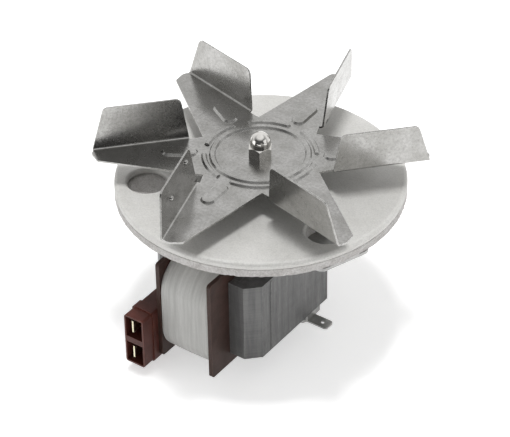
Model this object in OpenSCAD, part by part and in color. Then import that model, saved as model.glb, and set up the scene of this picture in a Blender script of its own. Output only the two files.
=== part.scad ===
// Oven fan motor: a shaded-pole C-frame motor under a round mounting plate, with a folded six-arm fan.
// The origin is on the shaft axis at the plate's top face. +Z runs up the shaft to the fan,
// +X along the coil, and the coil lies on the -Y side of the shaft.

/* [Mounting plate] */
// Outer radius of the plate
plate_r = 66; // [62:0.5:72]
// Sheet thickness of the plate
plate_t = 1.2; // [0.8:0.1:1.5]
// Depth of the turned-down rim below the top face
rim_depth = 3; // [2.8:0.1:5]
// Outside radius of the bend at the rim and at the hole lips
plate_bend_r = 1.8; // [1.6:0.1:2.2]
// Radius of the shaft opening
plate_bore_r = 9; // [7:0.5:11]
// Radius of the three large holes
hole_r = 9; // [6:0.5:10]
// Distance of the large holes' circle inside the plate's edge
hole_inset = 15; // [13:0.5:20]
// Angle of the first large hole
hole_phase = -20.5; // [-30:0.5:-10]
// Depth of the lip drawn down at each large hole
hole_lip_depth = 2.4; // [2.3:0.1:2.7]

/* [Gasket and support bracket] */
// Distance of the gasket's edge inside the plate's edge
gasket_inset = 0; // [0:0.1:3]
// Thickness of the fibre gasket
gasket_t = 4; // [2:0.25:6]
// Sheet thickness of the support bracket
support_t = 1.5; // [1:0.1:2.5]
// Width of the support bracket
support_w = 28; // [22:0.5:36]
// Distance of the support bracket's ends inside the plate's edge
support_inset = 0.4; // [0:0.1:16]
// Corner radius of the support bracket
support_corner_r = 4; // [1:0.5:10]

/* [Fan wheel] */
// Tip radius of the fan
fan_r = 75.5; // [70:0.5:85]
// Sheet thickness of the fan
fan_t = 0.8; // [0.5:0.1:1.2]
// Height of the fan's underside above the mounting plate
fan_z = 10.4; // [8:0.1:20]
// Angle of the first arm
fan_phase = 31.7; // [0:0.1:60]
// Distance of each fold line from the shaft axis
fold_offset = 19; // [17:0.25:21]
// Angle between a fold line and its arm
fold_angle = 15; // [13:0.5:17]
// Distance along the fold line at which a vane starts
fold_start = 28.5; // [27:0.25:31]
// Bend angle of the vanes
vane_angle = 85; // [80:1:90]
// Height of a vane along its own face
vane_h = 21; // [15:0.5:28]
// Inside radius of the fold
fold_r = 0.8; // [0.5:0.1:1.5]
// Slant of a vane's inner end
vane_slant_in = 3; // [0:0.5:6]
// Slant of a vane's outer end
vane_slant_out = 6; // [0:0.5:10]
// Corner radius of a vane
vane_corner_r = 3.2; // [1:0.1:6]
// Radius at which neighbouring arms meet
notch_r = 29.5; // [28:0.25:31]
// Angle from an arm to its notch
notch_angle = 35; // [33:0.5:37]
// Angle at the tip where the free edge starts
tip_angle = 6.6; // [5:0.1:9]
// Distance of the tip's trailing corner inside the tip radius
tip_cut = 2.7; // [1:0.1:6]

/* [Fan beads] */
// Height of the pressed beads
bead_h = 0.9; // [0.5:0.1:1.2]
// Width of the slope at a bead's edge
bead_slope = 0.8; // [0.5:0.1:1.1]
// Mean radius of the ring bead
ring_r = 21.5; // [20:0.25:22]
// Width of the ring bead
ring_w = 3.2; // [2.6:0.1:3.4]
// Mean radius of the arc beads
arc_r = 25.2; // [25:0.1:25.5]
// Width of the arc beads
arc_w = 2.8; // [2.4:0.1:3]
// Angle that each arc bead covers
arc_sweep = 42; // [30:1:48]
// Width of the ribs on the arms
rib_w = 7; // [4:0.25:8]
// Radius at which a rib starts
rib_start = 31.5; // [31:0.25:34]
// Radius at which a rib ends
rib_end = 41; // [36:0.25:50]

/* [Shaft and nut] */
// Radius of the shaft
shaft_r = 3.5; // [3.4:0.05:4]
// Radius of the threaded end of the shaft
thread_r = 3; // [2.5:0.1:3.1]
// Length of thread above the fan
thread_l = 8; // [6:0.5:9]
// Width across the flats of the dome nut
nut_af = 10; // [8:0.5:13]
// Height of the dome nut's hexagon
nut_hex_h = 5; // [4:0.5:6]
// Height of the whole dome nut
nut_h = 11.5; // [11:0.5:13]
// Radius of the washer under the fan
seat_r = 9; // [7:0.5:12]
// Thickness of the washer under the fan
seat_t = 1; // [0.5:0.1:2]

/* [Stator] */
// Depth of the stack's top face below the mounting plate
stack_top = 25.2; // [24:0.2:32]
// Thickness of the stack
stack_h = 40; // [20:1:50]
// Half width of the stack along X
stack_half_w = 29; // [28:0.5:32]
// Distance from the shaft to the stack's face on the coil side
stack_near = 46.4; // [45:0.2:50]
// Distance from the shaft to the stack's far face
stack_far = 29; // [27:0.5:32]
// Size of the chamfers at the coil side
near_chamfer = 6; // [2:0.5:8]
// Size of the chamfers at the far side
far_chamfer = 18; // [12:0.5:20]
// Half width of the opening between the two legs
leg_gap = 15.5; // [15.2:0.1:17]
// Distance from the shaft to the end of that opening
window_end = 18.5; // [18:0.25:20]
// Thickness of the straight core along Y
core_w = 15; // [12:0.5:16]
// Length of the tongues on the core
tongue_l = 3; // [2:0.5:5]
// Width of the tongues on the core
tongue_w = 8; // [5:0.5:10]
// Radius of the rotor tunnel
tunnel_r = 15.5; // [15.4:0.05:15.8]
// Wire radius of the shading rings
shade_wire_r = 1; // [0.6:0.1:1.1]
// Distance from the shaft to the legs of the shading rings
shade_r = 17.9; // [17.8:0.1:18.6]

/* [Rotor] */
// Air gap between the rotor and its tunnel
air_gap = 0.4; // [0.3:0.05:0.6]
// Number of bars in the cage
bar_count = 17; // [11:2:21]
// Radius of a cage bar
bar_r = 1; // [0.6:0.1:1.2]
// Thickness of the cage's end rings
end_ring_h = 2; // [1:0.1:2.4]
// Inner radius of the cage's end rings
end_ring_ri = 9.5; // [9:0.25:11]

/* [Coil] */
// Half length of the bobbin along X
bobbin_half_l = 15; // [12:0.25:15.2]
// Thickness of the bobbin's flanges
flange_t = 2; // [1:0.25:3]
// Wall of the bobbin's tube
bobbin_wall = 1.2; // [0.8:0.1:2]
// Distance of the flange's outer edge beyond the stack's near face
flange_over = 13.4; // [10:0.2:16]
// Height of the flange's overhang below the stack
flange_drop = 5.8; // [3:0.1:8]
// Height of the flange's overhang above the stack
flange_rise = 6.2; // [3:0.1:8]
// Corner radius of the flanges
flange_corner_r = 1.5; // [0.5:0.25:5]
// Corner radius of the wound coil
coil_corner_r = 14.5; // [8:0.5:16]
// Distance of the coil inside the flange's upper, lower and inner edges
coil_inset = 1; // [0.5:0.1:3]

/* [Connector] */
// Width of the housing along X
housing_w = 11.6; // [11.5:0.1:13]
// Distance from the shaft to the housing's mouth
housing_front = 70; // [66:0.5:74]
// Length of the housing along Y
housing_l = 23.5; // [20:0.5:30]
// Length of the narrower front part
collar_l = 6.7; // [4:0.1:10]
// Length of the raised band behind the front part
band_l = 5.2; // [3:0.1:8]
// Height of the raised band's step
band_step = 0.5; // [0.2:0.1:0.6]
// Height of the housing
housing_h = 27.6; // [26:0.2:30]
// Distance of the housing's lower side below the flanges
housing_drop = 2; // [0:0.1:4]
// Corner radius of the housing
housing_corner_r = 1.2; // [0.4:0.1:1.6]
// Wall of the housing
housing_wall = 0.8; // [0.8:0.1:1.2]
// Wall between the two sockets
socket_rib = 3; // [1.6:0.1:3.4]
// Depth of the two sockets
socket_depth = 13; // [9:0.5:16]
// Width of a blade
blade_w = 6.3; // [4.8:0.1:6.3]
// Thickness of a blade
blade_t = 0.8; // [0.5:0.1:0.8]
// Distance between the middles of the two blades
blade_pitch = 14.5; // [13.5:0.1:15]
// Distance of the blades from the middle of their sockets, away from the coil
blade_shift = 1.3; // [0:0.1:1.4]
// Distance of a blade's tip behind the mouth
blade_recess = 1; // [0.5:0.25:4]
// Length of a blade behind its socket's floor
blade_tail = 6; // [3:0.5:8]

/* [Bearings and brackets] */
// Sheet thickness of the bearing brackets
bracket_t = 1.2; // [1:0.1:1.5]
// Height of a bearing bracket's strip above the stack
bracket_lift = 3; // [2.8:0.1:4]
// Half width of a bearing bracket's arms
bracket_half_w = 5; // [4.6:0.2:8]
// Radius of the bracket's round middle
bracket_disc_r = 11; // [10:0.5:12]
// Radius of the ball-shaped bush
bush_r = 6.5; // [6:0.1:7]
// Height of the bush
bush_h = 6; // [5:0.25:7.5]
// Thickness of the felt
felt_t = 1; // [0.5:0.1:2]
// Thickness of the bearing clip
clip_t = 0.5; // [0.3:0.1:0.8]
// Radial clearance of the shaft in its bushes
running_fit = 0.04; // [0.01:0.01:0.1]
// Radial clearance between parts that are fixed together
fixed_fit = 0.02; // [0.01:0.01:0.05]

/* [Earth blade] */
// Width of the earth blade
tab_w = 6.3; // [4.8:0.1:6.3]
// Distance from the shaft to the blade's tip
tab_reach = 38.8; // [34:0.2:44]
// Position of the blade along Y
tab_y = -1.3; // [-1.8:0.1:1.8]
// Thickness of the earth blade
tab_t = 0.8; // [0.5:0.1:1]
// Radius of the hole in the blade
tab_hole_r = 0.9; // [0.5:0.1:1.2]
// Distance of that hole from the blade's tip
tab_hole_in = 4; // [2.5:0.1:5]

/* [Screws] */
// Distance from the shaft to each screw
screw_x = 23; // [22:0.25:24]
// Radius of the screws
screw_r = 2; // [1.5:0.1:2]
// Clearance round the screws
screw_gap = 0.25; // [0.15:0.05:0.4]
// Width across the flats of the screw heads and nuts
screw_af = 7; // [5.5:0.5:7]
// Height of the screw heads
screw_head_h = 2.8; // [2:0.1:3.5]
// Height of the screw nuts
screw_nut_h = 3.2; // [2:0.1:4]
// Radius of the screw washers
screw_washer_r = 4.4; // [4:0.1:4.8]
// Thickness of the screw washers
screw_washer_t = 0.8; // [0.5:0.1:1]
// Outer radius of the spacer tubes
spacer_r = 4; // [3.2:0.1:5]

/* [Hidden] */
$fn = 96;
// Overrun of a cutting solid
cut = 1;
arm_count = 6;
hole_count = 3;
// Angle from a bead's arm to the start of its arc
arc_lead = 4;
// Depth that a bead's root sinks into the sheet
bead_root = 0.1;
// Length of flat sheet that a fold's section starts with, and the relief at both ends of a fold
fold_root = 1.2;
fold_relief = 0.3;
// Angle from an arm to its tip's leading corner, and the rounding of both corners
tip_lead = 2.5;
tip_corner_r = 2;
// Difference in radius between the nut's hexagon and its dome
nut_shoulder = 0.25;
// Angle from a fan arm to a corner of the dome nut, and the free depth past the thread's end
nut_turn = 30;
thread_way = 1;
// Free length between the shaft's end and the felt's far side
shaft_end_gap = 0.5;
// Clearances round the shaft in the cup's opening and in the felt
shaft_way = 0.8;
felt_gap = 0.3;
// Outer radius of the thrust washers, the clip's clearance round them, and the rotor's axial play
thrust_r = 4.4;
clip_way = 0.5;
axial_play = 0.3;
// Inside radius of the bearing brackets' bends
bracket_bend_r = 0.4;
tab_corner_r = 1.5;
// Iron between a cage bar and the rotor's surface
bar_cover = 0.8;
// Angles of a shading ring's two legs, from the middle of its pole
shade_angles = [32, 64];
// Difference in radius between a shading ring's legs and its cross wires
shade_step = 0.2;
// Clearances of the bobbin round the core and from the end of the stack's opening
core_gap = 0.1;
flange_gap = 0.5;
// Distance of the coil inside the flanges' outer edge
coil_face_gap = 0.2;
// Length of screw past its nut
screw_tail = 0.8;

hole_angles = [for (i = [0:hole_count - 1]) hole_phase + i * 360 / hole_count];
arm_angles = [for (i = [0:arm_count - 1]) fan_phase + i * 360 / arm_count];
hole_circle_r = plate_r - hole_inset;
gasket_r = plate_r - gasket_inset;
support_reach = plate_r - support_inset;
gasket_top = -rim_depth;
gasket_bottom = gasket_top - gasket_t;
support_bottom = gasket_bottom - support_t;
stack_top_z = -stack_top;
stack_bottom_z = stack_top_z - stack_h;
strip_top = bracket_lift + bracket_t;
bush_start = bracket_lift + clip_t;
bush_end = bush_start + bush_h;
cup_r = bush_r + fixed_fit;
cup_top = bush_end + felt_t + bracket_t;
rotor_r = tunnel_r - air_gap;
core_mid_y = core_w / 2 - stack_near;
flange_bottom = stack_bottom_z - flange_drop;
housing_mid_x = -bobbin_half_l - housing_w / 2;
housing_mid_z = flange_bottom - housing_drop + housing_h / 2;
socket_w = housing_w - 2 * (band_step + housing_wall);
socket_h = (housing_h - socket_rib) / 2 - band_step - housing_wall;
fold_end = sqrt(fan_r * fan_r - fold_offset * fold_offset);
screw_hole_r = screw_r + screw_gap;
screw_end = screw_washer_t + screw_nut_h + screw_tail;

// Geometry helpers
function unit(v) = v / norm(v);

function polar(r, a) = [r * cos(a), r * sin(a)];

function turned(points, a) = [for (p = points) p.x * polar(1, a) + p.y * polar(1, a + 90)];

// Arc of radius r in place of the corner b between a and c
function corner_arc(a, b, c, r, steps = 5) =
  let (
    u = unit(a - b),
    v = unit(c - b),
    half = acos(u * v) / 2,
    middle = b + unit(u + v) * r / sin(half),
    p = b + u * r / tan(half) - middle,
    q = b + v * r / tan(half) - middle,
    first = atan2(p.y, p.x),
    turn = atan2(q.y, q.x) - first,
    sweep = turn > 180 ? turn - 360 : turn < -180 ? turn + 360 : turn
  )
  r == 0 ? [b] : [for (i = [0:steps]) middle + polar(r, first + sweep * i / steps)];

// Outline through the points, each corner rounded by its own radius
function rounded(points, radii) =
  let (n = len(points))
  [for (i = [0:n - 1]) each corner_arc(points[(i + n - 1) % n], points[i], points[(i + 1) % n], radii[i])];

// Corner of the flat at a fan arm's fold, in the arm's own axes; the fold's section covers its edge
function fold_point(s) = polar(fold_offset - fold_root / 2, fold_angle - 90) + polar(s, fold_angle);

// Solid between two heights on the shaft axis, from an inner to an outer radius
module ring(outer, inner, bottom, top) {
  translate([0, 0, bottom]) difference() {
    cylinder(r = outer, h = top - bottom);
    translate([0, 0, -cut]) cylinder(r = inner, h = top - bottom + 2 * cut);
  }
}

// Rectangle with true arcs at its corners
module round_rect(low, high, r) {
  translate([low.x + r, low.y]) square([high.x - low.x - 2 * r, high.y - low.y]);
  translate([low.x, low.y + r]) square([high.x - low.x, high.y - low.y - 2 * r]);
  for (x = [low.x + r, high.x - r], y = [low.y + r, high.y - r]) translate([x, y]) circle(r = r);
}

// Extrudes a section drawn in Y and Z along X
module along_x(from, to) {
  translate([from, 0, 0]) rotate([90, 0, 90]) linear_extrude(height = to - from) children();
}

module at_screws() {
  for (side = [-1, 1]) translate([side * screw_x, 0, 0]) children();
}

module at_holes() {
  for (a = hole_angles) rotate(a) translate([hole_circle_r, 0, 0]) children();
}

module at_arms() {
  for (a = arm_angles) rotate(a) children();
}

// Copies for the upper and the lower end of the stack, each with its z pointing away from it
module at_stack_ends() {
  translate([0, 0, stack_top_z]) children();
  translate([0, 0, stack_bottom_z]) mirror([0, 0, 1]) children();
}

module screw_hole(bottom, top, r = screw_hole_r) {
  translate([0, 0, bottom - cut]) cylinder(r = r, h = top - bottom + 2 * cut);
}

// Section of sheet that turns down at a radius, on its outer (1) or its inner (-1) side
module turned_edge(edge_r, depth, side) {
  translate([edge_r - side * plate_bend_r, -plate_bend_r]) intersection() {
    difference() {
      circle(r = plate_bend_r);
      circle(r = plate_bend_r - plate_t);
    }
    translate([side > 0 ? 0 : -plate_bend_r, 0]) square(plate_bend_r);
  }
  translate([side > 0 ? edge_r - plate_t : edge_r, -depth]) square([plate_t, depth - plate_bend_r]);
}

module mounting_plate() {
  color("gainsboro") difference() {
    union() {
      difference() {
        rotate_extrude() {
          translate([plate_bore_r, -plate_t]) square([plate_r - plate_bend_r - plate_bore_r, plate_t]);
          turned_edge(plate_r, rim_depth, 1);
        }
        at_holes() screw_hole(-plate_t, 0, hole_r + plate_bend_r);
      }
      at_holes() rotate_extrude() turned_edge(hole_r, hole_lip_depth, -1);
    }
    at_screws() screw_hole(-plate_t, 0);
  }
}

module insulation_gasket() {
  color("lightgray") difference() {
    ring(gasket_r, plate_bore_r, gasket_bottom, gasket_top);
    at_screws() screw_hole(gasket_bottom, gasket_top);
    rotate(hole_phase) translate([hole_circle_r, 0, 0]) screw_hole(gasket_bottom, gasket_top, hole_r);
  }
}

module support_bracket() {
  reach = support_reach;
  half_w = support_w / 2;
  corners = [[-reach, -half_w], [reach, -half_w], [reach, half_w], [-reach, half_w]];
  color("silver") difference() {
    rotate(hole_phase) translate([0, 0, support_bottom]) linear_extrude(height = support_t)
      polygon(rounded(corners, [for (c = corners) support_corner_r]));
    screw_hole(support_bottom, gasket_bottom, plate_bore_r);
    at_screws() screw_hole(support_bottom, gasket_bottom);
  }
}

module spacer_tubes() {
  color("silver") at_screws() ring(spacer_r, screw_hole_r, stack_top_z + strip_top, support_bottom);
}

// Trapezoid section of a pressed bead, centred on x = middle
module bead_section(middle, width, bottom) {
  translate([middle, bottom]) polygon([
    [-width / 2, -bead_root], [width / 2, -bead_root], [width / 2, 0],
    [width / 2 - bead_slope, bead_h], [bead_slope - width / 2, bead_h], [-width / 2, 0]
  ]);
}

// Rounded end of a bead
module bead_end(width, bottom) {
  translate([0, 0, bottom]) cylinder(r1 = width / 2, r2 = width / 2 - bead_slope, h = bead_h);
  translate([0, 0, bottom - bead_root]) cylinder(r = width / 2, h = bead_root);
}

module ring_bead(bottom) {
  rotate_extrude() bead_section(ring_r, ring_w, bottom);
}

module arc_bead(bottom) {
  rotate_extrude(angle = arc_sweep) bead_section(arc_r, arc_w, bottom);
  for (a = [0, arc_sweep]) rotate(a) translate([arc_r, 0, 0]) bead_end(arc_w, bottom);
}

module rib_bead(bottom) {
  along_x(rib_start, rib_end) bead_section(0, rib_w, bottom);
  for (x = [rib_start, rib_end]) translate([x, 0, 0]) bead_end(rib_w, bottom);
}

module beads(bottom) {
  ring_bead(bottom);
  at_arms() {
    rotate(arc_lead) arc_bead(bottom);
    rib_bead(bottom);
  }
}

// Flat part of the whole fan, as one outline through its arms and notches
module fan_blank() {
  corners = [
    polar(notch_r, notch_angle - 360 / arm_count), fold_point(fold_start), fold_point(fold_end),
    polar(fan_r, tip_lead), polar(fan_r - tip_cut, tip_angle), polar(notch_r, notch_angle)
  ];
  closed_arm = rounded(corners, [0, 0, 0, tip_corner_r, tip_corner_r, 0]);
  arm = [for (i = [0:len(closed_arm) - 2]) closed_arm[i]];
  polygon([for (a = arm_angles) each turned(arm, a)]);
}

// Section across a fold: the bend, then the vane up to its full height
module fold_section() {
  outer = fold_r + fan_t;
  reach = 2 * outer;
  intersection() {
    difference() {
      circle(r = outer);
      circle(r = fold_r);
    }
    polygon([[0, 0], [0, -reach], [reach, -reach], polar(reach, vane_angle - 90)]);
  }
  rotate(vane_angle - 90) translate([fold_r, 0]) square([fan_t, vane_h - outer]);
  translate([-fold_root, -outer]) square([fold_root, fan_t]);
}

// Outline of a vane seen square to its fold line
module vane_outline() {
  from = fold_start + fold_relief;
  to = fold_end - fold_relief;
  top = vane_h * sin(vane_angle);
  points = [
    [from, -cut], [to, -cut], [to, fan_t], [to - vane_slant_out, top], [from + vane_slant_in, top],
    [from, fan_t]
  ];
  polygon(rounded(points, [0, 0, 0, vane_corner_r, vane_corner_r, 0]));
}

module vane() {
  rotate(fold_angle - 90) translate([fold_offset, 0, 0]) intersection() {
    translate([0, fold_end, fan_t + fold_r]) rotate([90, 0, 0])
      linear_extrude(height = fold_end - fold_start) fold_section();
    translate([-vane_h, 0, 0]) rotate([90, 0, 90]) linear_extrude(height = 2 * vane_h) vane_outline();
  }
}

module fan_wheel() {
  color("silver") translate([0, 0, fan_z]) difference() {
    union() {
      linear_extrude(height = fan_t) fan_blank();
      at_arms() vane();
      beads(fan_t);
    }
    beads(0);
    screw_hole(0, fan_t, thread_r + fixed_fit);
  }
}

module dome_nut() {
  dome_r = nut_af / 2 - nut_shoulder;
  corner_r = nut_af / 2 / cos(30);
  color("whitesmoke") translate([0, 0, fan_z + fan_t]) difference() {
    union() {
      rotate(fan_phase + nut_turn) intersection() {
        cylinder(r = corner_r, h = nut_hex_h, $fn = 6);
        cylinder(r1 = corner_r + nut_hex_h, r2 = nut_af / 2, h = nut_hex_h);
      }
      cylinder(r = dome_r, h = nut_h - dome_r);
      translate([0, 0, nut_h - dome_r]) sphere(r = dome_r);
    }
    translate([0, 0, -cut]) cylinder(r = thread_r + fixed_fit, h = thread_l + thread_way + cut);
  }
}

module fan_seat_washer() {
  color("silver") ring(seat_r, thread_r + fixed_fit, fan_z - seat_t, fan_z);
}

module shaft() {
  bottom = stack_bottom_z - bush_end - shaft_end_gap;
  shoulder = fan_z - seat_t;
  color("gray") {
    translate([0, 0, bottom]) cylinder(r = shaft_r, h = shoulder - bottom);
    translate([0, 0, shoulder]) cylinder(r = thread_r, h = fan_z + fan_t + thread_l - shoulder);
  }
}

// Bearing bracket on one end of the stack, z pointing away from the stack
module bearing_bracket(opening_r) {
  half_l = stack_half_w;
  inner_l = half_l - bracket_t;
  strip = [
    [-half_l, 0], [-inner_l, 0], [-inner_l, bracket_lift], [inner_l, bracket_lift], [inner_l, 0],
    [half_l, 0], [half_l, strip_top], [-half_l, strip_top]
  ];
  outer_bend = bracket_t + bracket_bend_r;
  difference() {
    union() {
      translate([0, bracket_half_w, 0]) rotate([90, 0, 0]) linear_extrude(height = 2 * bracket_half_w)
        polygon(rounded(strip, [0, 0, bracket_bend_r, bracket_bend_r, 0, 0, outer_bend, outer_bend]));
      translate([0, 0, bracket_lift]) cylinder(r = bracket_disc_r, h = bracket_t);
      translate([0, 0, bracket_lift]) cylinder(r = cup_r + bracket_t, h = cup_top - bracket_lift);
    }
    translate([0, 0, -cut]) cylinder(r = cup_r, h = cup_top - bracket_t + cut);
    if (opening_r > 0) screw_hole(0, cup_top, opening_r);
    at_screws() screw_hole(bracket_lift, strip_top);
  }
}

module upper_bearing_bracket() {
  color("silver") translate([0, 0, stack_top_z]) bearing_bracket(shaft_r + shaft_way);
}

// Earth blade, in the lower bracket's own axes
module earth_blade() {
  root = stack_half_w - bracket_t;
  points = [[root, -tab_w / 2], [tab_reach, -tab_w / 2], [tab_reach, tab_w / 2], [root, tab_w / 2]];
  translate([0, tab_y, strip_top - tab_t]) difference() {
    linear_extrude(height = tab_t) polygon(rounded(points, [0, tab_corner_r, tab_corner_r, 0]));
    translate([tab_reach - tab_hole_in, 0, -cut]) cylinder(r = tab_hole_r, h = tab_t + 2 * cut);
  }
}

module lower_bearing_bracket() {
  color("silver") translate([0, 0, stack_bottom_z]) mirror([0, 0, 1]) {
    bearing_bracket(0);
    earth_blade();
  }
}

// Ball-shaped sintered bush between its two flat ends
module bush() {
  color("darkkhaki") difference() {
    intersection() {
      translate([0, 0, (bush_start + bush_end) / 2]) sphere(r = bush_r);
      translate([0, 0, bush_start]) cylinder(r = bush_r, h = bush_h);
    }
    screw_hole(bush_start, bush_end, shaft_r + running_fit);
  }
}

module upper_bearing() {
  translate([0, 0, stack_top_z]) bush();
}

module lower_bearing() {
  translate([0, 0, stack_bottom_z]) mirror([0, 0, 1]) bush();
}

module oil_felts() {
  color("linen") at_stack_ends() ring(cup_r - fixed_fit, shaft_r + felt_gap, bush_end, bush_end + felt_t);
}

module bearing_clips() {
  color("dimgray") at_stack_ends() ring(cup_r - fixed_fit, thrust_r + clip_way, bracket_lift, bush_start);
}

module thrust_washers() {
  color("ivory") at_stack_ends() ring(thrust_r, shaft_r + fixed_fit, 0, bush_start - axial_play);
}

module at_bars() {
  for (i = [0:bar_count - 1]) rotate(i * 360 / bar_count)
    translate([rotor_r - bar_r - bar_cover, 0, stack_bottom_z]) children();
}

module rotor_core() {
  color("dimgray") difference() {
    ring(rotor_r, shaft_r + fixed_fit, stack_bottom_z, stack_top_z);
    at_bars() screw_hole(0, stack_h, bar_r + fixed_fit);
  }
}

module rotor_cage() {
  color("lightsteelblue") {
    at_bars() cylinder(r = bar_r, h = stack_h);
    at_stack_ends() ring(rotor_r - bar_cover / 2, end_ring_ri, 0, end_ring_h);
  }
}

module at_shading_legs() {
  for (pole = [0, 180], a = shade_angles) rotate(pole + a) translate([shade_r, 0, 0]) children();
}

// Outline of a lamination: two legs, and a yoke that surrounds the rotor tunnel
module lamination() {
  w = stack_half_w;
  near = near_chamfer;
  far = far_chamfer;
  difference() {
    polygon([
      [w - near, -stack_near], [w, near - stack_near], [w, stack_far - far], [w - far, stack_far],
      [far - w, stack_far], [-w, stack_far - far], [-w, near - stack_near], [near - w, -stack_near],
      [-leg_gap, -stack_near], [-leg_gap, -window_end], [leg_gap, -window_end], [leg_gap, -stack_near]
    ]);
    circle(r = tunnel_r);
    translate([-leg_gap - tongue_l, core_mid_y - tongue_w / 2]) square([2 * (leg_gap + tongue_l), tongue_w]);
    at_screws() circle(r = screw_hole_r);
    at_shading_legs() circle(r = shade_wire_r + fixed_fit);
  }
}

module stator_frame() {
  color("gray") translate([0, 0, stack_bottom_z]) linear_extrude(height = stack_h) lamination();
}

module stator_core() {
  half_l = leg_gap - fixed_fit;
  tongue_tip = half_l + tongue_l;
  tongue_half_w = tongue_w / 2 - fixed_fit;
  color("gray") translate([0, core_mid_y, stack_bottom_z]) linear_extrude(height = stack_h) {
    translate([-half_l, -core_w / 2]) square([2 * half_l, core_w]);
    translate([-tongue_tip, -tongue_half_w]) square([2 * tongue_tip, 2 * tongue_half_w]);
  }
}

// Closed copper loop through two holes of one pole
module shading_ring() {
  lift = shade_wire_r + fixed_fit;
  chord = 2 * shade_r * sin((shade_angles[1] - shade_angles[0]) / 2);
  leg_end = lift + shade_wire_r;
  for (a = shade_angles) rotate(a) translate([shade_r, 0, stack_bottom_z - leg_end])
    cylinder(r = shade_wire_r, h = stack_h + 2 * leg_end);
  for (z = [stack_bottom_z - lift, stack_top_z + lift])
    rotate(shade_angles[0]) translate([shade_r, 0, z])
      rotate([-90, 0, (shade_angles[1] - shade_angles[0]) / 2]) cylinder(r = shade_wire_r - shade_step, h = chord);
}

module shading_rings() {
  color("peru") for (pole = [0, 180]) rotate(pole) shading_ring();
}

// Section of the bobbin's tube, and of the hole that a wall outside it leaves
module core_section(gap) {
  low = [-stack_near - gap, stack_bottom_z - gap];
  translate(low) square([core_w + 2 * gap, stack_h + 2 * gap]);
}

module coil_bobbin() {
  low = [-stack_near - flange_over, flange_bottom];
  high = [-window_end - flange_gap, stack_top_z + flange_rise];
  color("saddlebrown") difference() {
    union() {
      along_x(-bobbin_half_l, bobbin_half_l) core_section(core_gap + bobbin_wall);
      for (x = [-bobbin_half_l, bobbin_half_l - flange_t])
        along_x(x, x + flange_t) round_rect(low, high, flange_corner_r);
    }
    along_x(-bobbin_half_l - cut, bobbin_half_l + cut) core_section(core_gap);
  }
}

module coil_winding() {
  half_l = bobbin_half_l - flange_t;
  low = [-stack_near - flange_over + coil_face_gap, flange_bottom + coil_inset];
  high = [-window_end - flange_gap - coil_inset, stack_top_z + flange_rise - coil_inset];
  color("lightgray") along_x(-half_l, half_l) difference() {
    round_rect(low, high, coil_corner_r);
    core_section(core_gap + bobbin_wall);
  }
}

// Length of the connector housing between two distances from its mouth, inside the band by a step
module housing_block(step, from, to) {
  half = [housing_w / 2 - step, housing_h / 2 - step];
  translate([housing_mid_x, to - housing_front, housing_mid_z]) rotate([90, 0, 0])
    linear_extrude(height = to - from) round_rect(-half, half, housing_corner_r);
}

// Copies for the lower and the upper half of the housing, moved from its middle
module at_halves(x, pitch) {
  for (side = [-1, 1])
    translate([housing_mid_x + x, -housing_front, housing_mid_z + side * pitch / 2]) children();
}

module connector_housing() {
  color("saddlebrown") difference() {
    union() {
      housing_block(band_step, 0, housing_l);
      housing_block(0, collar_l, collar_l + band_l);
    }
    at_halves(0, socket_h + socket_rib) translate([-socket_w / 2, -cut, -socket_h / 2])
      cube([socket_w, socket_depth + cut, socket_h]);
    at_halves(-blade_shift, blade_pitch) blade(fixed_fit);
  }
}

module blade(gap) {
  translate([-blade_t / 2 - gap, blade_recess - gap, -blade_w / 2 - gap])
    cube([blade_t + 2 * gap, socket_depth - blade_recess + blade_tail + 2 * gap, blade_w + 2 * gap]);
}

module terminal_blades() {
  color("khaki") at_halves(-blade_shift, blade_pitch) blade(0);
}

module hex_prism(height) {
  cylinder(r = screw_af / 2 / cos(30), h = height, $fn = 6);
}

module through_screws() {
  seat = stack_bottom_z - strip_top;
  color("silver") at_screws() {
    translate([0, 0, seat - screw_head_h]) hex_prism(screw_head_h);
    translate([0, 0, seat]) cylinder(r = screw_r, h = screw_end - seat);
  }
}

module screw_washers() {
  color("silver") at_screws() ring(screw_washer_r, screw_hole_r, 0, screw_washer_t);
}

module screw_nuts() {
  color("silver") at_screws() translate([0, 0, screw_washer_t]) difference() {
    hex_prism(screw_nut_h);
    screw_hole(0, screw_nut_h, screw_r + fixed_fit);
  }
}

fan_wheel();
dome_nut();
fan_seat_washer();
shaft();
mounting_plate();
insulation_gasket();
support_bracket();
spacer_tubes();
upper_bearing_bracket();
upper_bearing();
lower_bearing_bracket();
lower_bearing();
oil_felts();
bearing_clips();
thrust_washers();
rotor_core();
rotor_cage();
stator_frame();
stator_core();
shading_rings();
coil_bobbin();
coil_winding();
connector_housing();
terminal_blades();
through_screws();
screw_washers();
screw_nuts();
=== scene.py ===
import math
import bmesh
import bpy
from mathutils import Matrix, Vector


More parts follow.
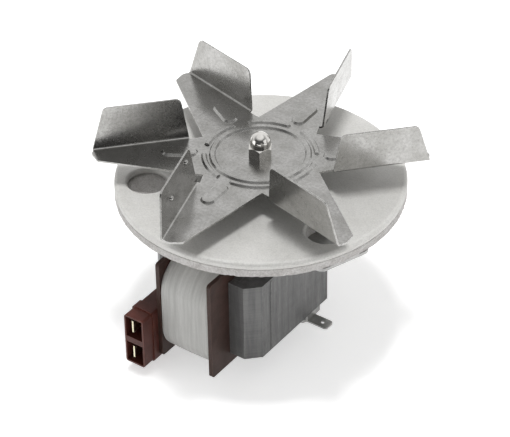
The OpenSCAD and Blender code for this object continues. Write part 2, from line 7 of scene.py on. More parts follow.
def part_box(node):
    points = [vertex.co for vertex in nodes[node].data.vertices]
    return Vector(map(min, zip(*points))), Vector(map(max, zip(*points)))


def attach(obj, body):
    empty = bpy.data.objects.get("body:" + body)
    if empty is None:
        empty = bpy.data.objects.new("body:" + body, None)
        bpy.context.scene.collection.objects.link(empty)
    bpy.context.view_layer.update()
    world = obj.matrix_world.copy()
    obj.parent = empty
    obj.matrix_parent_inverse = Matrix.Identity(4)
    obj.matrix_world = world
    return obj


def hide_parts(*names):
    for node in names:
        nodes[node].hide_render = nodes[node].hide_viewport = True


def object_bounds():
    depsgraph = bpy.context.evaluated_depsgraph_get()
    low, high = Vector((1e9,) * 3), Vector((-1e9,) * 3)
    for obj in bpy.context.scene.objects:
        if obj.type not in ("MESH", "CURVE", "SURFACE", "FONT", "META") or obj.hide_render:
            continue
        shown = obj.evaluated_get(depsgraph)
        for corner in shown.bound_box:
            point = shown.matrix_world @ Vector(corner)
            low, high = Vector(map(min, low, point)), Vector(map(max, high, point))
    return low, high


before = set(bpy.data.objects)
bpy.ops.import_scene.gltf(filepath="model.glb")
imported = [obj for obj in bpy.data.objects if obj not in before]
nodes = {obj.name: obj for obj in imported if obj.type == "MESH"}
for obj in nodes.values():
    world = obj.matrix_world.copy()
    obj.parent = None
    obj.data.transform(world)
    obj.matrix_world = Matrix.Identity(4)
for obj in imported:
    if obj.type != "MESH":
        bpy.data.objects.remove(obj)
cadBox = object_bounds()
print("frame loaded:", len(nodes), "CAD nodes")

nearEnough = 0.00001  # distance within which two places count as one
overrun = 0.01  # how far a cutter reaches past what it cuts


# colours are written as they look, 0 to 255, and turned into Blender's linear values
def tone(red, green, blue):
    def linear(c):
        c = c / 255
        return c / 12.92 if c <= 0.04045 else ((c + 0.055) / 1.055) ** 2.4
    return (linear(red), linear(green), linear(blue), 1.0)


def deselectAll():
    if bpy.context.object and bpy.context.object.mode != "OBJECT":
        bpy.ops.object.mode_set(mode="OBJECT")
    bpy.ops.object.select_all(action="DESELECT")


def useOnly(obj):
    deselectAll()
    obj.select_set(True)
    bpy.context.view_layer.objects.active = obj


def applyPlace(obj):
    useOnly(obj)
    bpy.ops.object.transform_apply(location=True, rotation=True, scale=True)


# selects edges in edit mode whose two ends pass the test
def pickEdges(obj, test):
    bpy.ops.mesh.select_mode(type="EDGE")
    bpy.ops.mesh.select_all(action="DESELECT")
    mesh = bmesh.from_edit_mesh(obj.data)
    for edge in mesh.edges:
        edge.select_set(test(edge.verts[0].co, edge.verts[1].co))
    bmesh.update_edit_mesh(obj.data)


def pickVerts(obj, test):
    bpy.ops.mesh.select_mode(type="VERT")
    bpy.ops.mesh.select_all(action="DESELECT")
    mesh = bmesh.from_edit_mesh(obj.data)
    for vert in mesh.verts:
        vert.select_set(test(vert.co))
    mesh.select_flush(True)
    bmesh.update_edit_mesh(obj.data)


def addCube(name, low, high):
    deselectAll()
    bpy.ops.mesh.primitive_cube_add(size=1, location=[(a + b) / 2 for a, b in zip(low, high)])
    obj = bpy.context.object
    obj.name = name
    obj.scale = [b - a for a, b in zip(low, high)]
    applyPlace(obj)
    return obj


def addCylinder(name, radius, low, high, x=0.0, y=0.0, vertices=96):
    deselectAll()
    bpy.ops.mesh.primitive_cylinder_add(
        vertices=vertices, radius=radius, depth=high - low, location=(x, y, (low + high) / 2))
    obj = bpy.context.object
    obj.name = name
    applyPlace(obj)
    return obj


# cuts the object along a plane, which adds a loop of edges there
def cutLoop(place, normal):
    bpy.ops.mesh.select_all(action="SELECT")
    bpy.ops.mesh.bisect(plane_co=place, plane_no=normal)


def cutAway(obj, cutter):
    useOnly(obj)
    change = obj.modifiers.new("cut", "BOOLEAN")
    change.operation = "DIFFERENCE"
    change.solver = "EXACT"
    change.object = cutter
    bpy.ops.object.modifier_apply(modifier=change.name)
    bpy.data.objects.remove(cutter, do_unlink=True)


def smoothByAngle(obj, degrees=32):
    useOnly(obj)
    bpy.ops.object.shade_smooth_by_angle(angle=math.radians(degrees))


def finishPiece(obj, material, replaced=(), body="stator"):
    obj.data.materials.clear()
    obj.data.materials.append(material)
    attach(obj, body)
    if replaced:
        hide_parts(*replaced)
    print("piece made:", obj.name, len(obj.data.polygons), "faces")


# shared shader groups
def newGroup(name, inputs, outputs):
    group = bpy.data.node_groups.new(name, "ShaderNodeTree")
    for label, kind, value in inputs:
        socket = group.interface.new_socket(name=label, in_out="INPUT", socket_type=kind)
        socket.default_value = value
    for label, kind in outputs:
        group.interface.new_socket(name=label, in_out="OUTPUT", socket_type=kind)
    return group, group.nodes.new("NodeGroupInput"), group.nodes.new("NodeGroupOutput")


def mathNode(tree, operation, a, b=None):
    node = tree.nodes.new("ShaderNodeMath")
    node.operation = operation
    for i, value in enumerate((a, b)):
        if value is None:
            continue
        if isinstance(value, (int, float)):
            node.inputs[i].default_value = value
        else:
            tree.links.new(value, node.inputs[i])
    return node.outputs[0]


def rangeNode(tree, value, low, high, toLow=0.0, toHigh=1.0):
    node = tree.nodes.new("ShaderNodeMapRange")
    tree.links.new(value, node.inputs["Value"])
    for label, number in (("From Min", low), ("From Max", high), ("To Min", toLow), ("To Max", toHigh)):
        if isinstance(number, (int, float)):
            node.inputs[label].default_value = number
        else:
            tree.links.new(number, node.inputs[label])
    return node.outputs["Result"]


def meanNode(tree, a, b):
    return mathNode(tree, "ADD", mathNode(tree, "MULTIPLY", a, 0.5), mathNode(tree, "MULTIPLY", b, 0.5))


# clouds' noise, crystals' spread, and where edge wear and painted edge highlight start, are full and break up
pattern = {
    "noiseDetail": 5.0, "noiseRough": 0.6, "cellSpread": 1.0,
    "bevelSamples": 4, "flatDot": 1.0, "edgeFullDot": 0.86, "breakScale": 600.0, "breakLow": 0.35, "breakHigh": 0.6,
}


# cloudy variation, stretched along an axis where Stretch is small
def buildMottle():
    group, given, made = newGroup(
        "mottle",
        [("Scale", "NodeSocketFloat", 200.0), ("Stretch", "NodeSocketVector", (1.0, 1.0, 1.0)),
         ("Low", "NodeSocketFloat", 0.35), ("High", "NodeSocketFloat", 0.65)],
        [("Mask", "NodeSocketFloat")])
    place = group.nodes.new("ShaderNodeTexCoord")
    stretch = group.nodes.new("ShaderNodeVectorMath")
    stretch.operation = "MULTIPLY"
    group.links.new(place.outputs["Object"], stretch.inputs[0])
    group.links.new(given.outputs["Stretch"], stretch.inputs[1])
    noise = group.nodes.new("ShaderNodeTexNoise")
    noise.inputs["Detail"].default_value = pattern["noiseDetail"]
    noise.inputs["Roughness"].default_value = pattern["noiseRough"]
    group.links.new(stretch.outputs[0], noise.inputs["Vector"])
    group.links.new(given.outputs["Scale"], noise.inputs["Scale"])
    mask = rangeNode(group, noise.outputs["Fac"], given.outputs["Low"], given.outputs["High"])
    group.links.new(mask, made.inputs["Mask"])
    return group


# crystals of a coated sheet: flat cells, each with its own value
def buildSpangle():
    group, given, made = newGroup(
        "spangle", [("Scale", "NodeSocketFloat", 500.0)], [("Mask", "NodeSocketFloat")])
    place = group.nodes.new("ShaderNodeTexCoord")
    cells = group.nodes.new("ShaderNodeTexVoronoi")
    cells.inputs["Randomness"].default_value = pattern["cellSpread"]
    group.links.new(place.outputs["Object"], cells.inputs["Vector"])
    group.links.new(given.outputs["Scale"], cells.inputs["Scale"])
    split = group.nodes.new("ShaderNodeSeparateColor")
    group.links.new(cells.outputs["Color"], split.inputs["Color"])
    group.links.new(split.outputs[0], made.inputs["Mask"])
    return group


# 1 where an edge is sharp, broken up so that the lighter edge, painted highlight and wear, looks uneven
def buildEdgeWearAndHighlight():
    group, given, made = newGroup(
        "edgeWearAndHighlight", [("Radius", "NodeSocketFloat", 0.0004)], [("Mask", "NodeSocketFloat")])
    bevel = group.nodes.new("ShaderNodeBevel")
    bevel.samples = pattern["bevelSamples"]
    group.links.new(given.outputs["Radius"], bevel.inputs["Radius"])
    shape = group.nodes.new("ShaderNodeNewGeometry")
    dot = group.nodes.new("ShaderNodeVectorMath")
    dot.operation = "DOT_PRODUCT"
    group.links.new(bevel.outputs["Normal"], dot.inputs[0])
    group.links.new(shape.outputs["Normal"], dot.inputs[1])
    edge = rangeNode(group, dot.outputs["Value"], pattern["flatDot"], pattern["edgeFullDot"])
    place = group.nodes.new("ShaderNodeTexCoord")
    noise = group.nodes.new("ShaderNodeTexNoise")
    noise.inputs["Scale"].default_value = pattern["breakScale"]
    group.links.new(place.outputs["Object"], noise.inputs["Vector"])
    broken = rangeNode(group, noise.outputs["Fac"], pattern["breakLow"], pattern["breakHigh"])
    group.links.new(mathNode(group, "MULTIPLY", edge, broken), made.inputs["Mask"])
    return group


# thin grooves across one axis, as between stacked sheets or turns of tape
def buildGrooves():
    group, given, made = newGroup(
        "grooves",
        [("Axis", "NodeSocketVector", (0.0, 0.0, 1.0)), ("Pitch", "NodeSocketFloat", 0.0005),
         ("Width", "NodeSocketFloat", 0.2)],
        [("Mask", "NodeSocketFloat"), ("Sheet", "NodeSocketFloat")])
    place = group.nodes.new("ShaderNodeTexCoord")
    dot = group.nodes.new("ShaderNodeVectorMath")
    dot.operation = "DOT_PRODUCT"
    group.links.new(place.outputs["Object"], dot.inputs[0])
    group.links.new(given.outputs["Axis"], dot.inputs[1])
    count = mathNode(group, "DIVIDE", dot.outputs["Value"], given.outputs["Pitch"])
    part = mathNode(group, "FRACT", count)
    away = mathNode(group, "ABSOLUTE", mathNode(group, "SUBTRACT", part, 0.5))
    edge = rangeNode(group, away, mathNode(group, "SUBTRACT", 0.5, given.outputs["Width"]), 0.5)
    group.links.new(edge, made.inputs["Mask"])
    sheet = group.nodes.new("ShaderNodeTexWhiteNoise")
    sheet.noise_dimensions = "1D"
    group.links.new(mathNode(group, "FLOOR", count), sheet.inputs["W"])
    group.links.new(sheet.outputs["Value"], made.inputs["Sheet"])
    return group


groups = {
    "mottle": buildMottle(), "spangle": buildSpangle(), "edgeWearAndHighlight": buildEdgeWearAndHighlight(), "grooves": buildGrooves(),
}
print("shader groups made:", len(groups))


def placeGroup(tree, name, values):
    node = tree.nodes.new("ShaderNodeGroup")
    node.node_tree = groups[name]
    for label, value in values.items():
        node.inputs[label].default_value = value
    return node


def mixColour(tree, factor, a, b):
    node = tree.nodes.new("ShaderNodeMix")
    node.data_type = "RGBA"
    tree.links.new(factor, node.inputs["Factor"])
    # 6 and 7, and output 2, are this node's colour sockets
    for socket, value in ((node.inputs[6], a), (node.inputs[7], b)):
        if isinstance(value, tuple):
            socket.default_value = value
        else:
            tree.links.new(value, socket)
    return node.outputs[2]


# one finish: two colours in clouds, a finer grain, roughness and bump from both, painted highlight and wear at edges
def makeFinish(name, v):
    material = bpy.data.materials.new(name)
    material.use_nodes = True
    tree = material.node_tree
    shader = tree.nodes["Principled BSDF"]
    shader.inputs["Metallic"].default_value = v.get("metallic", 0.0)
    if "specular" in v:
        shader.inputs["Specular IOR Level"].default_value = v["specular"]
    clouds = placeGroup(tree, "mottle", {
        "Scale": v["cloudScale"], "Stretch": v.get("cloudStretch", (1, 1, 1)),
        "Low": 0.35, "High": 0.65}).outputs["Mask"]
    grain = placeGroup(tree, "mottle", {
        "Scale": v["grainScale"], "Stretch": v.get("grainStretch", (1, 1, 1)),
        "Low": v.get("grainLow", 0.3), "High": v.get("grainHigh", 0.7)}).outputs["Mask"]
    colour = mixColour(tree, clouds, v["base"], v["second"])
    height = grain
    if "speck" in v:
        speck = mathNode(tree, "MULTIPLY", grain, v["speckAmount"])
        colour = mixColour(tree, speck, colour, v["speck"])
    rough = meanNode(tree, clouds, grain)
    if "spangle" in v:
        cells = placeGroup(tree, "spangle", {"Scale": v["spangle"]}).outputs["Mask"]
        rough = meanNode(tree, rough, cells)
        shade = mathNode(tree, "MULTIPLY", cells, v["spangleAmount"])
        colour = mixColour(tree, shade, colour, v["spangleColour"])
    if "grooves" in v:
        lines = placeGroup(tree, "grooves", v["grooves"])
        height = mathNode(tree, "SUBTRACT", height, mathNode(tree, "MULTIPLY", lines.outputs["Mask"], v["grooveDepth"]))
        shade = mathNode(tree, "MULTIPLY", lines.outputs["Mask"], v["grooveShade"])
        colour = mixColour(tree, shade, colour, v["grooveColour"])
        sheet = mathNode(tree, "MULTIPLY", lines.outputs["Sheet"], v.get("sheetShade", 0.0))
        colour = mixColour(tree, sheet, colour, v["grooveColour"])
    # a lighter colour at sharp edges: painted highlight, and wear
    if "wearAndHighlight" in v:
        wearAndHighlight = placeGroup(tree, "edgeWearAndHighlight", {"Radius": v.get("wearAndHighlightRadius", 0.0004)}).outputs["Mask"]
        colour = mixColour(tree, mathNode(tree, "MULTIPLY", wearAndHighlight, v.get("wearAndHighlightAmount", 0.6)), colour, v["wearAndHighlight"])
        rough = mathNode(tree, "ADD", rough, mathNode(tree, "MULTIPLY", wearAndHighlight, v.get("wearAndHighlightRough", 0.0)))
    tree.links.new(colour, shader.inputs["Base Color"])
    spread = mathNode(tree, "MULTIPLY", rough, v["rough"][1] - v["rough"][0])
    tree.links.new(mathNode(tree, "ADD", spread, v["rough"][0]), shader.inputs["Roughness"])
    bump = tree.nodes.new("ShaderNodeBump")
    bump.inputs["Strength"].default_value = v["bump"]
    bump.inputs["Distance"].default_value = v.get("bumpDistance", 0.0001)
    tree.links.new(height, bump.inputs["Height"])
    tree.links.new(bump.outputs["Normal"], shader.inputs["Normal"])
    return material


finishes = {
    "fanSheet": {
        "base": tone(180, 179, 177), "second": tone(160, 159, 156), "metallic": 1.0, "rough": (0.17, 0.31),
        "cloudScale": 110.0, "grainScale": 800.0, "grainLow": 0.42, "grainHigh": 0.66, "bump": 0.10,
        "bumpDistance": 0.00005, "speck": tone(132, 131, 128), "speckAmount": 0.42,
        # wearAndHighlightRough is in shares of the span of "rough"
        # the lighter colour at the edges is a painted highlight along the fan's ribs and beads
        "wearAndHighlight": tone(226, 226, 224), "wearAndHighlightAmount": 0.8, "wearAndHighlightRough": 1.8},
    "plateSheet": {
        "base": tone(222, 221, 218), "second": tone(210, 209, 205), "metallic": 0.3, "rough": (0.38, 0.60),
        "cloudScale": 60.0, "grainScale": 1500.0, "spangle": 900.0, "spangleColour": tone(226, 225, 222),
        "spangleAmount": 0.35, "bump": 0.26, "speck": tone(168, 167, 164), "speckAmount": 0.5,
        "wearAndHighlight": tone(232, 232, 230), "wearAndHighlightAmount": 0.5},
    "gasketFibre": {
        "base": tone(240, 238, 236), "second": tone(216, 213, 210), "rough": (0.82, 0.98), "cloudScale": 260.0,
        "grainScale": 1400.0, "bump": 0.8, "bumpDistance": 0.00025, "speck": tone(124, 117, 113), "speckAmount": 0.45},
    "zincSteel": {
        "base": tone(176, 176, 174), "second": tone(150, 150, 149), "metallic": 1.0, "rough": (0.26, 0.44),
        "cloudScale": 180.0, "grainScale": 1600.0, "bump": 0.14, "speck": tone(120, 119, 116), "speckAmount": 0.3,
        "wearAndHighlight": tone(214, 214, 212)},
    "nutPlating": {
        "base": tone(226, 224, 220), "second": tone(206, 204, 200), "metallic": 1.0, "rough": (0.07, 0.16),
        "cloudScale": 320.0, "grainScale": 2400.0, "bump": 0.06, "wearAndHighlight": tone(240, 239, 236), "wearAndHighlightRadius": 0.0003},
    "groundSteel": {
        "base": tone(190, 190, 190), "second": tone(164, 164, 165), "metallic": 1.0, "rough": (0.16, 0.30),
        "cloudScale": 120.0, "grainScale": 900.0, "grainStretch": (1.0, 1.0, 8.0), "bump": 0.12},
    "stackSteel": {
        "base": tone(121, 121, 120), "second": tone(106, 106, 106), "metallic": 0.7, "rough": (0.38, 0.60),
        "cloudScale": 380.0, "cloudStretch": (1.0, 1.0, 0.10), "grainScale": 1500.0, "grainStretch": (1.0, 1.0, 0.2),
        "grooves": {"Axis": (0.0, 0.0, 1.0), "Pitch": 0.0005, "Width": 0.16}, "grooveDepth": 1.1,
        "grooveShade": 0.45, "grooveColour": tone(58, 57, 56), "sheetShade": 0.16, "bump": 0.45,
        "bumpDistance": 0.00012, "wearAndHighlight": tone(178, 178, 176), "wearAndHighlightAmount": 0.5},
    "rotorSteel": {
        "base": tone(116, 116, 115), "second": tone(88, 88, 88), "metallic": 0.9, "rough": (0.34, 0.52),
        "cloudScale": 300.0, "grainScale": 1500.0, "grooves": {"Axis": (0.0, 0.0, 1.0), "Pitch": 0.0005, "Width": 0.14},
        "grooveDepth": 0.9, "grooveShade": 0.35, "grooveColour": tone(54, 53, 52), "bump": 0.35},
    "cageAluminium": {
        "base": tone(200, 201, 203), "second": tone(176, 177, 180), "metallic": 1.0, "rough": (0.38, 0.58),
        "cloudScale": 260.0, "grainScale": 1700.0, "bump": 0.3},
    "shadingCopper": {
        "base": tone(198, 122, 84), "second": tone(150, 84, 58), "metallic": 1.0, "rough": (0.24, 0.44),
        "cloudScale": 380.0, "grainScale": 1600.0, "bump": 0.16},
    "bushBronze": {
        "base": tone(152, 122, 72), "second": tone(112, 88, 50), "metallic": 0.9, "rough": (0.44, 0.68),
        "cloudScale": 500.0, "grainScale": 2600.0, "bump": 0.4, "speck": tone(70, 54, 34), "speckAmount": 0.4},
    "oilFelt": {
        "base": tone(196, 182, 148), "second": tone(168, 150, 112), "rough": (0.88, 1.0), "cloudScale": 500.0,
        "grainScale": 2600.0, "bump": 0.8, "bumpDistance": 0.0002},
    "springSteel": {
        "base": tone(92, 94, 100), "second": tone(66, 66, 72), "metallic": 1.0, "rough": (0.26, 0.42),
        "cloudScale": 400.0, "grainScale": 1800.0, "bump": 0.12},
    "naturalNylon": {
        "base": tone(232, 228, 212), "second": tone(220, 214, 196), "rough": (0.40, 0.54), "cloudScale": 300.0,
        "grainScale": 1800.0, "bump": 0.12},
    "flangeMoulding": {
        "base": tone(54, 33, 27), "second": tone(41, 26, 21), "specular": 0.3, "rough": (0.42, 0.60),
        "cloudScale": 150.0, "grainScale": 2200.0, "bump": 0.28, "speck": tone(96, 68, 56), "speckAmount": 0.22,
        "wearAndHighlight": tone(120, 88, 72), "wearAndHighlightAmount": 0.55, "wearAndHighlightRadius": 0.0003},
    "housingMoulding": {
        "base": tone(78, 38, 31), "second": tone(60, 30, 25), "specular": 0.3, "rough": (0.36, 0.54),
        "cloudScale": 150.0, "grainScale": 2200.0, "bump": 0.26, "speck": tone(136, 72, 58), "speckAmount": 0.2,
        "wearAndHighlight": tone(164, 96, 78), "wearAndHighlightAmount": 0.6, "wearAndHighlightRadius": 0.0003},
    "coilTape": {
        "base": tone(214, 214, 211), "second": tone(192, 192, 189), "rough": (0.56, 0.78), "cloudScale": 520.0,
        "cloudStretch": (1.0, 0.06, 0.06), "grainScale": 2200.0, "grainStretch": (1.0, 0.35, 0.35),
        "grooves": {"Axis": (1.0, 0.0, 0.0), "Pitch": 0.00062, "Width": 0.3}, "grooveDepth": 0.8,
        "grooveShade": 0.10, "grooveColour": tone(150, 149, 146), "sheetShade": 0.12, "bump": 0.35,
        "bumpDistance": 0.00014, "speck": tone(176, 175, 171), "speckAmount": 0.3},
    "tinnedBrass": {
        "base": tone(222, 216, 192), "second": tone(200, 192, 160), "metallic": 1.0, "rough": (0.24, 0.40),
        "cloudScale": 300.0, "grainScale": 1800.0, "grainStretch": (1.0, 0.15, 1.0), "bump": 0.12,
        "wearAndHighlight": tone(238, 234, 216)},
    "seamWeld": {
        "base": tone(118, 118, 117), "second": tone(96, 96, 95), "metallic": 0.7, "rough": (0.4, 0.6),
        "cloudScale": 900.0, "grainScale": 2400.0, "bump": 0.5, "bumpDistance": 0.0002},
}
materials = {name: makeFinish(name, values) for name, values in finishes.items()}
print("finishes made:", len(materials))

nodeFinish = {
    "fan_wheel": "fanSheet", "dome_nut": "nutPlating", "fan_seat_washer": "zincSteel", "shaft": "groundSteel",
    "mounting_plate": "plateSheet", "insulation_gasket": "gasketFibre", "support_bracket": "zincSteel",
    "spacer_tubes": "zincSteel", "upper_bearing_bracket": "zincSteel", "upper_bearing": "bushBronze",
    "lower_bearing_bracket": "zincSteel", "lower_bearing": "bushBronze", "oil_felts": "oilFelt",
    "bearing_clips": "springSteel", "thrust_washers": "naturalNylon", "rotor_core": "rotorSteel",
    "rotor_cage": "cageAluminium", "stator_frame": "stackSteel", "stator_core": "stackSteel",
    "shading_rings": "shadingCopper", "coil_bobbin": "flangeMoulding", "coil_winding": "coilTape",
    "connector_housing": "housingMoulding", "terminal_blades": "tinnedBrass", "through_screws": "zincSteel",
    "screw_washers": "zincSteel", "screw_nuts": "zincSteel",
}
for nodeName, obj in nodes.items():
    if not obj.material_slots:
        obj.data.materials.append(materials[nodeFinish[nodeName]])
    for slot in obj.material_slots:
        slot.link = "OBJECT"
        slot.material = materials[nodeFinish[nodeName]]
print("CAD nodes finished:", len(nodeFinish))


# coil under its glass-cloth tape
coil = {
    "corner": 0.0145, "segments": 12,
    # place along the coil from -1 to 1, and the size of its section there
    "profile": [(-0.97, 0.990), (-0.88, 0.998), (-0.6, 1.004), (0.0, 1.009),
                (0.6, 1.004), (0.88, 0.998), (0.97, 0.990)],
    "endSize": 0.975, "tubeGap": 0.00135, "smoothAngle": 35,
}


def coilBody(name, low, high, profile, endSize):
    obj = addCube(name, low, high)
    useOnly(obj)
    bpy.ops.object.mode_set(mode="EDIT")
    pickEdges(obj, lambda a, b: abs(a.x - b.x) > 0.5 * (high[0] - low[0]))
    bpy.ops.mesh.bevel(offset=coil["corner"], offset_type="OFFSET", segments=coil["segments"], affect="EDGES")
    middle = [(a + b) / 2 for a, b in zip(low, high)]
    half = (high[0] - low[0]) / 2
    for place, size in profile:
        cutLoop((middle[0] + place * half, middle[1], middle[2]), (1, 0, 0))
    for place, size in profile + [(-1.0, endSize), (1.0, endSize)]:
        pickVerts(obj, lambda co: abs(co.x - middle[0] - place * half) < nearEnough)
        bpy.ops.transform.resize(value=(1, size, size), center_override=middle)
    bpy.ops.object.mode_set(mode="OBJECT")
    coreLow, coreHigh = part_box("stator_core")
    gap = coil["tubeGap"]
    cutter = addCube("tubeCutter", (low[0] - overrun, coreLow.y - gap, coreLow.z - gap),
                     (high[0] + overrun, coreHigh.y + gap, coreHigh.z + gap))
    cutAway(obj, cutter)
    smoothByAngle(obj, coil["smoothAngle"])
    return obj


low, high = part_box("coil_winding")
tapedCoil = coilBody("tapedCoil", tuple(low), tuple(high), coil["profile"], coil["endSize"])
finishPiece(tapedCoil, materials["coilTape"], ["coil_winding"])


# fibre gasket with its torn edge
gasket = {
    "vertices": 360, "levels": (0.12, 0.34, 0.56, 0.78, 0.92), "topInset": 0.9905, "topReach": 0.000001,
    # topWeight is the tear's share at the top face, and at the bottom it is 1
    "tearSize": 0.0012, "tearDetail": 3, "tearDepth": 0.0007, "midLevel": 0.62, "topWeight": 0.25,
    "boreRadius": 0.009, "screwRadius": 0.00225, "screwX": 0.023, "screwVertices": 32,
    "holeCircle": 0.051, "holeAngle": -20.5, "smoothAngle": 40,
}
low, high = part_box("insulation_gasket")
radius = high.x
fibreGasket = addCylinder("fibreGasket", radius, low.z, high.z, vertices=gasket["vertices"])
useOnly(fibreGasket)
bpy.ops.object.mode_set(mode="EDIT")
for level in gasket["levels"]:
    cutLoop((0, 0, high.z + (low.z - high.z) * level), (0, 0, 1))
pickVerts(fibreGasket, lambda co: co.z > high.z - gasket["topReach"])
bpy.ops.transform.resize(value=(gasket["topInset"], gasket["topInset"], 1), center_override=(0, 0, high.z))
bpy.ops.object.mode_set(mode="OBJECT")
rim = fibreGasket.vertex_groups.new(name="rim")
for vert in fibreGasket.data.vertices:
    depth = (high.z - vert.co.z) / (high.z - low.z)
    rim.add([vert.index], gasket["topWeight"] + (1 - gasket["topWeight"]) * depth, "REPLACE")
tear = bpy.data.textures.new("tear", "CLOUDS")
tear.noise_scale = gasket["tearSize"]
tear.noise_depth = gasket["tearDetail"]
change = fibreGasket.modifiers.new("tear", "DISPLACE")
change.texture = tear
change.texture_coords = "LOCAL"
change.strength = gasket["tearDepth"]
change.mid_level = gasket["midLevel"]
change.vertex_group = "rim"
bpy.ops.object.modifier_apply(modifier=change.name)
cutAway(fibreGasket, addCylinder("boreCutter", gasket["boreRadius"], low.z - overrun, high.z + overrun))
for side in (-1, 1):
    cutAway(fibreGasket, addCylinder(
        "screwCutter", gasket["screwRadius"], low.z - overrun, high.z + overrun,
        x=side * gasket["screwX"], vertices=gasket["screwVertices"]))
angle = math.radians(gasket["holeAngle"])
cutAway(fibreGasket, addCylinder(
    "holeCutter", gasket["boreRadius"], low.z - overrun, high.z + overrun,
    x=gasket["holeCircle"] * math.cos(angle), y=gasket["holeCircle"] * math.sin(angle)))
smoothByAngle(fibreGasket, gasket["smoothAngle"])
finishPiece(fibreGasket, materials["gasketFibre"], ["insulation_gasket"])


# weld that holds the stack's sheets together
weld = {
    "width": 0.0011, "proud": 0.00028, "places": (-0.0338,), "endInset": 0.0008,
    # edges taller than longEdge are rounded, by this share of proud
    "longEdge": 0.01, "rounding": 0.9, "segments": 3,
    "ripples": 26, "ripplePinch": 0.72, "smoothAngle": 50,
}
low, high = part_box("stator_frame")
for side in (-1, 1):
    for number, y in enumerate(weld["places"]):
        seam = addCube("stackWeld%s%d" % ("Left" if side < 0 else "Right", number + 1),
                       (side * high.x - weld["proud"], y - weld["width"] / 2, low.z + weld["endInset"]),
                       (side * high.x + weld["proud"], y + weld["width"] / 2, high.z - weld["endInset"]))
        useOnly(seam)
        bpy.ops.object.mode_set(mode="EDIT")
        pickEdges(seam, lambda a, b: abs(a.z - b.z) > weld["longEdge"])
        bpy.ops.mesh.bevel(offset=weld["proud"] * weld["rounding"], segments=weld["segments"], affect="EDGES")
        span = high.z - low.z - 2 * weld["endInset"]
        for i in range(1, weld["ripples"]):
            cutLoop((0, 0, low.z + weld["endInset"] + span * i / weld["ripples"]), (0, 0, 1))
        for i in range(1, weld["ripples"], 2):
            level = low.z + weld["endInset"] + span * i / weld["ripples"]
            pickVerts(seam, lambda co: abs(co.z - level) < nearEnough)
            bpy.ops.transform.resize(value=(1, weld["ripplePinch"], 1), center_override=(side * high.x, y, level))
        bpy.ops.object.mode_set(mode="OBJECT")
        smoothByAngle(seam, weld["smoothAngle"])
        finishPiece(seam, materials["seamWeld"])


# two studs on the inner face of one vane
studs = {
    "arm": 271.7, "foldAngle": 15.0, "foldOffset": 0.019, "foldRadius": 0.0008, "sheet": 0.0008, "lean": 5.0,
    # distance along the fold and height up the vane
    "places": ((0.0379, 0.0157), (0.0575, 0.0102)), "radius": 0.0013, "proud": 0.0012,
    "segments": 32, "rings": 16, "smoothAngle": 60,
}
low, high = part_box("fan_wheel")
turn = math.radians(studs["arm"] + studs["foldAngle"] - 90)
lean = math.radians(studs["lean"])
for number, (along, up) in enumerate(studs["places"]):
    across = studs["foldOffset"] + studs["foldRadius"] * math.cos(lean) + up * math.sin(lean)
    rise = low.z + studs["sheet"] + studs["foldRadius"] * (1 - math.sin(lean)) + up * math.cos(lean)
    place = Vector((across * math.cos(turn) - along * math.sin(turn),
                    across * math.sin(turn) + along * math.cos(turn), rise))
    outward = Vector((-math.cos(turn) * math.cos(lean), -math.sin(turn) * math.cos(lean), math.sin(lean)))
    deselectAll()
    bpy.ops.mesh.primitive_uv_sphere_add(
        segments=studs["segments"], ring_count=studs["rings"], radius=studs["radius"], location=place,
        rotation=outward.to_track_quat("Z", "Y").to_euler())
    stud = bpy.context.object
    stud.name = "vaneStud%d" % (number + 1)
    stud.scale = (1, 1, studs["proud"] / studs["radius"])
    applyPlace(stud)
    smoothByAngle(stud, studs["smoothAngle"])
    finishPiece(stud, materials["fanSheet"], body="rotor")


# floor, world, lamps and camera
stage = {
    "floorHalf": 4.0, "floorDrop": 0.0002, "floorTone": tone(240, 240, 240), "floorRough": 0.9,
    "floorSpecular": 0.1, "floorGlow": 0.48, "worldLevel": 0.42,
    # direction of the dark side of the studio, how far it reaches, and the heights over which it ends
    "darkSide": (0.472, -0.650, 0.596), "paleEdge": 0.0, "darkEdge": 0.6, "darkLevel": 0.09,
    "darkTop": 0.64, "paleTop": 0.88,
    # how bright metal mirrors the horizon, and the sky above it
    "skyLow": 0.05, "skyHigh": 0.5, "horizonLevel": 0.95, "skyLevel": 1.0,
}
deselectAll()
bpy.ops.mesh.primitive_plane_add(size=2 * stage["floorHalf"], location=(0, 0, cadBox[0].z - stage["floorDrop"]))
floor = bpy.context.object
floor.name = "floor"
applyPlace(floor)
floorPaint = bpy.data.materials.new("paleFloor")
floorPaint.use_nodes = True
floorTree = floorPaint.node_tree
floorShader = floorTree.nodes["Principled BSDF"]
floorShader.inputs["Base Color"].default_value = stage["floorTone"]
floorShader.inputs["Roughness"].default_value = stage["floorRough"]
floorShader.inputs["Specular IOR Level"].default_value = stage["floorSpecular"]
glow = floorTree.nodes.new("ShaderNodeEmission")
glow.inputs["Color"].default_value = (1, 1, 1, 1)
glow.inputs["Strength"].default_value = stage["floorGlow"]
together = floorTree.nodes.new("ShaderNodeAddShader")
rays = floorTree.nodes.new("ShaderNodeLightPath")
seen = mathNode(floorTree, "MAXIMUM", rays.outputs["Is Camera Ray"], rays.outputs["Is Glossy Ray"])
seen = mathNode(floorTree, "MAXIMUM", seen, rays.outputs["Is Transmission Ray"])
lit = floorTree.nodes.new("ShaderNodeMixShader")
dark = floorTree.nodes.new("ShaderNodeEmission")
dark.inputs["Strength"].default_value = 0.0
floorTree.links.new(seen, lit.inputs["Fac"])
floorTree.links.new(dark.outputs[0], lit.inputs[1])
floorTree.links.new(glow.outputs[0], lit.inputs[2])
floorTree.links.new(floorShader.outputs[0], together.inputs[0])
floorTree.links.new(lit.outputs[0], together.inputs[1])
floorTree.links.new(together.outputs[0], floorTree.nodes["Material Output"].inputs["Surface"])
floor.data.materials.append(floorPaint)

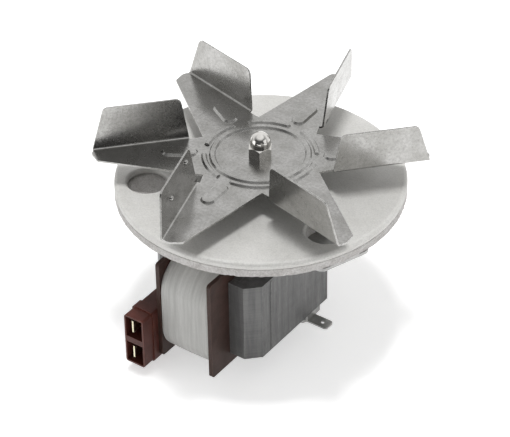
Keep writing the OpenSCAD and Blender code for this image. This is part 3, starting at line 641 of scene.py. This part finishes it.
world = bpy.data.worlds.new("studio")
bpy.context.scene.world = world
world.use_nodes = True
worldTree = world.node_tree
air = worldTree.nodes["Background"]
rays = worldTree.nodes.new("ShaderNodeLightPath")
seen = mathNode(worldTree, "MAXIMUM", rays.outputs["Is Camera Ray"], rays.outputs["Is Glossy Ray"])
seen = mathNode(worldTree, "MAXIMUM", seen, rays.outputs["Is Transmission Ray"])
air.inputs["Color"].default_value = (1, 1, 1, 1)
compass = worldTree.nodes.new("ShaderNodeTexCoord")
facing = worldTree.nodes.new("ShaderNodeVectorMath")
facing.operation = "DOT_PRODUCT"
facing.inputs[1].default_value = stage["darkSide"]
worldTree.links.new(compass.outputs["Generated"], facing.inputs[0])
paleness = rangeNode(
    worldTree, facing.outputs["Value"], stage["paleEdge"], stage["darkEdge"], 1.0, stage["darkLevel"])
height = worldTree.nodes.new("ShaderNodeSeparateXYZ")
worldTree.links.new(compass.outputs["Generated"], height.inputs[0])
overhead = rangeNode(worldTree, height.outputs["Z"], stage["darkTop"], stage["paleTop"], stage["darkLevel"], 1.0)
paleness = mathNode(worldTree, "MAXIMUM", paleness, overhead)
lowSky = rangeNode(
    worldTree, height.outputs["Z"], stage["skyLow"], stage["skyHigh"], stage["horizonLevel"], stage["skyLevel"])
mirrored = mathNode(worldTree, "MULTIPLY", paleness, lowSky)
seenByCamera = rays.outputs["Is Camera Ray"]
soft = rangeNode(worldTree, seen, 0.0, 1.0, stage["worldLevel"], 0.0)
shown = mathNode(worldTree, "MULTIPLY", seen, mathNode(worldTree, "MAXIMUM", seenByCamera, mirrored))
worldTree.links.new(mathNode(worldTree, "ADD", soft, shown), air.inputs["Strength"])

# every lamp points at the origin, and metal mirrors it unless mirrored is False
lamps = {
    "topLamp": {"place": (-0.04, 0.06, 1.5), "size": 0.32, "power": 18.0, "mirrored": False},
    "leftLamp": {"place": (-0.75, -1.25, 0.08), "size": 0.9, "power": 3.2},
    "rightLamp": {"place": (1.35, 0.1, 0.5), "size": 0.9, "power": 2.4},
}
for name, values in lamps.items():
    light = bpy.data.lights.new(name, "AREA")
    light.size = values["size"]
    light.energy = values["power"]
    lamp = bpy.data.objects.new(name, light)
    bpy.context.scene.collection.objects.link(lamp)
    lamp.visible_glossy = values.get("mirrored", True)
    lamp.location = values["place"]
    lamp.rotation_euler = (-Vector(values["place"])).to_track_quat("-Z", "Y").to_euler()

view = {
    "place": (0.5007, -0.6941, 0.6108), "azimuth": 36.0, "elevation": 36.59, "roll": -0.95,
    "focalPixels": 2339.0, "imageWidth": 510.0, "sensor": 36.0, "clipStart": 0.01, "clipEnd": 50.0,
}
side, rise, roll = (math.radians(view[k]) for k in ("azimuth", "elevation", "roll"))
right = Vector((math.cos(side), math.sin(side), 0))
ahead = Vector((-math.sin(side) * math.cos(rise), math.cos(side) * math.cos(rise), -math.sin(rise)))
above = right.cross(ahead)
rolledRight = right * math.cos(roll) + above * math.sin(roll)
rolledUp = -right * math.sin(roll) + above * math.cos(roll)
cameraData = bpy.data.cameras.new("photoCamera")
cameraData.sensor_fit = "HORIZONTAL"
cameraData.sensor_width = view["sensor"]
cameraData.lens = view["focalPixels"] / view["imageWidth"] * view["sensor"]
cameraData.clip_start = view["clipStart"]
cameraData.clip_end = view["clipEnd"]
camera = bpy.data.objects.new("photoCamera", cameraData)
bpy.context.scene.collection.objects.link(camera)
cameraTurn = Matrix((rolledRight, rolledUp, -ahead)).transposed().to_4x4()
camera.matrix_world = Matrix.Translation(view["place"]) @ cameraTurn
bpy.context.scene.camera = camera
bpy.context.scene.view_settings.view_transform = "Standard"
print("stage, lamps and camera set")

deselectAll()
